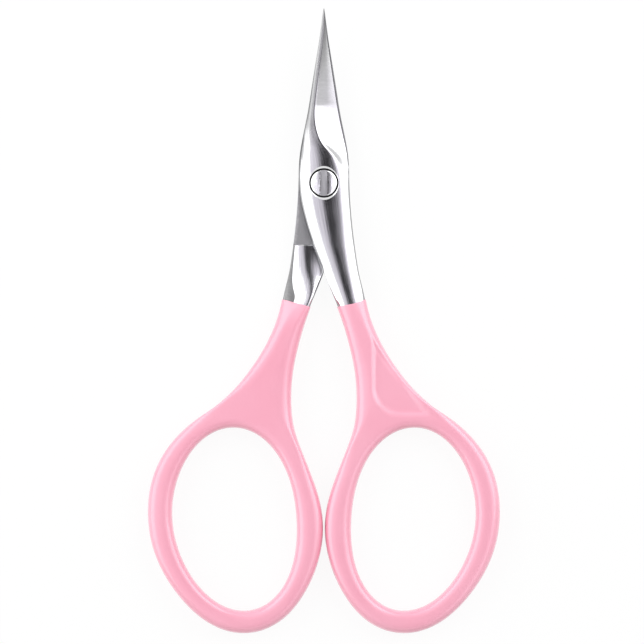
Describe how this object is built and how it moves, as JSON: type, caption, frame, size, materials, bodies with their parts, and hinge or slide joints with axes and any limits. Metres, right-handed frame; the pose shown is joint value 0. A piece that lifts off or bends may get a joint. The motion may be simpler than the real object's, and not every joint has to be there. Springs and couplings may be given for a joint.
{
  "type": "beauty scissors",
  "caption": "Cuticle scissors with slim curved blades, a slotted pivot screw and glossy coated ring handles.",
  "frame": {"origin": "on the pivot screw's axis, at its flush end, in the plane that the closed scissors lie on", "axes": "+Y from the pivot to the blade tips, +Z along the pivot axis towards the screw's head"},
  "size_m": [0.052, 0.092, 0.0056],
  "materials": {
    "polished_steel": "polished lengthwise",
    "pink_coat": "glossy"
  },
  "bodies": {
    "rear_half": {"rear_blade_half": "polished_steel", "rear_handle_coat": "pink_coat", "pivot_screw": "polished_steel"},
    "front_half": {"front_blade_half": "polished_steel", "front_handle_coat": "pink_coat"}
  },
  "joints": [
    {"name": "pivot", "type": "hinge", "parent": "rear_half", "child": "front_half", "pos_m": [0, 0, 0.00186], "axis": [0, 0, 1], "range_deg": [0, 128]}
  ]
}
